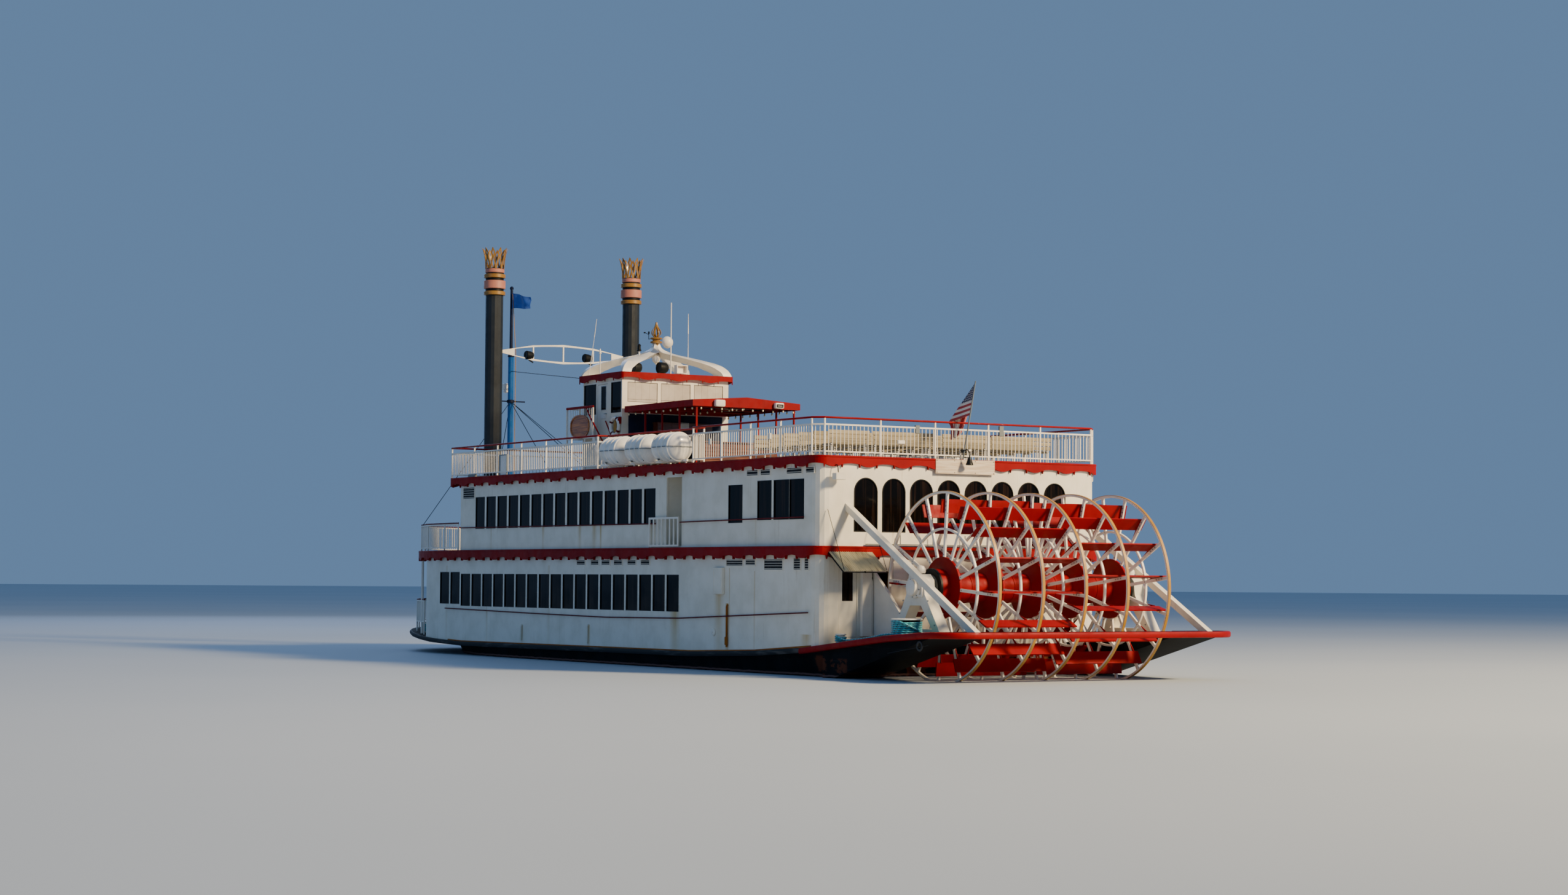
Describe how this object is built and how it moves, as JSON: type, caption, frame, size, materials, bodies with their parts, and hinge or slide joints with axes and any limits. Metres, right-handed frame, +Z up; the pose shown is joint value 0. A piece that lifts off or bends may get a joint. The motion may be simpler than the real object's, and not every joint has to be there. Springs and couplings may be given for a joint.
{
  "type": "paddle steamer",
  "caption": "Stern-wheel passenger steamer: white two-deck house on a black hull, red deck bands and stern wheel, tall funnels, pilothouse and open top deck.",
  "frame": {"origin": "on the centreline at the waterline, near the middle of the length", "axes": "+X towards the bow, +Y to port, +Z up"},
  "size_m": [22.815, 6.368, 9.075],
  "materials": {
    "white_paint": "satin, rust-streaked",
    "hull_paint": "satin black, worn",
    "red_paint": "gloss",
    "gold_paint": "satin",
    "funnel_paint": "satin",
    "blue_paint": "gloss",
    "deck_paint": "matt, non-slip",
    "machine_paint": "oily",
    "raft_shell": "gloss",
    "awning_sheet": "corrugated, matt",
    "bench_plastic": "satin",
    "varnished_wood": "varnished",
    "flag_cloth": "woven",
    "rope": "laid rope",
    "window_glass": "dark tinted",
    "bare_steel": "weathered",
    "dark_rubber": "matt"
  },
  "bodies": {
    "ship": {"hull": "hull_paint", "sponson_port": "hull_paint", "sponson_starboard": "hull_paint", "stern_beam": "hull_paint", "rub_rail": "red_paint", "main_deck": "deck_paint", "boiler_deck": "deck_paint", "boiler_fascia": "red_paint", "top_deck": "deck_paint", "top_fascia": "red_paint", "main_wall_port": "white_paint", "main_wall_starboard": "white_paint", "main_wall_stern": "white_paint", "main_wall_front": "white_paint", "boiler_wall_port": "white_paint", "boiler_wall_starboard": "white_paint", "boiler_wall_stern": "white_paint", "boiler_wall_front": "white_paint", "top_railing": "white_paint", "top_handrail": "red_paint", "balcony_railing": "white_paint", "foredeck_railing": "white_paint", "pilot_wall_port": "white_paint", "pilot_wall_starboard": "white_paint", "pilot_wall_aft": "white_paint", "pilot_wall_front": "white_paint", "pilot_floor": "deck_paint", "pilot_roof": "red_paint", "pilot_crown": "white_paint", "pilot_stair": "white_paint", "canopy_roof": "red_paint", "canopy_frame": "red_paint", "bar_counter": "varnished_wood", "funnel_port": "funnel_paint", "funnel_starboard": "funnel_paint", "crown_port": "gold_paint", "crown_starboard": "gold_paint", "funnel_truss": "white_paint", "mast": "blue_paint", "flagstaff": "white_paint", "mast_flag": "flag_cloth", "stern_ensign": "flag_cloth", "liferafts_port": "raft_shell", "liferafts_starboard": "raft_shell", "pedestal_port": "white_paint", "pedestal_starboard": "white_paint", "brace_port": "white_paint", "brace_starboard": "white_paint", "awning": "awning_sheet", "benches": "bench_plastic", "engine": "machine_paint"},
    "paddle_wheel": {"wheel_shaft": "red_paint", "wheel_port": "white_paint", "wheel_starboard": "white_paint"},
    "port_rudder": {"rudder_port": "hull_paint"},
    "starboard_rudder": {"rudder_starboard": "hull_paint"},
    "stern_door_leaf": {"stern_door": "white_paint"},
    "pilot_door_leaf": {"pilot_door": "white_paint"},
    "port_gate": {"gate_port": "white_paint"},
    "starboard_gate": {"gate_starboard": "white_paint"}
  },
  "joints": [
    {"name": "wheel_turn", "type": "hinge", "parent": "ship", "child": "paddle_wheel", "pos_m": [-9.775, 0, 1.455], "axis": [0, 1, 0], "continuous": true},
    {"name": "port_rudder_turn", "type": "hinge", "parent": "ship", "child": "port_rudder", "pos_m": [-7.6, 1, -0.4], "axis": [0, 0, 1], "range_deg": [-35, 35]},
    {"name": "starboard_rudder_turn", "type": "hinge", "parent": "ship", "child": "starboard_rudder", "pos_m": [-7.6, -1, -0.4], "axis": [0, 0, 1], "range_deg": [-35, 35]},
    {"name": "stern_door_swing", "type": "hinge", "parent": "ship", "child": "stern_door_leaf", "pos_m": [-7.92, 2.435, 1.2], "axis": [0, 0, 1], "range_deg": [0, 88]},
    {"name": "pilot_door_swing", "type": "hinge", "parent": "ship", "child": "pilot_door_leaf", "pos_m": [2.78, 1.175, 4.8], "axis": [0, 0, 1], "range_deg": [0, 88]},
    {"name": "port_gate_swing", "type": "hinge", "parent": "ship", "child": "port_gate", "pos_m": [-2.415, 2.885, 2.4], "axis": [0, 0, 1], "range_deg": [-95, 0]},
    {"name": "starboard_gate_swing", "type": "hinge", "parent": "ship", "child": "starboard_gate", "pos_m": [-2.415, -2.885, 2.4], "axis": [0, 0, 1], "range_deg": [0, 95]}
  ],
  "couplings": [
    {"joint": "starboard_rudder_turn", "follows": "port_rudder_turn", "ratio": 1}
  ]
}
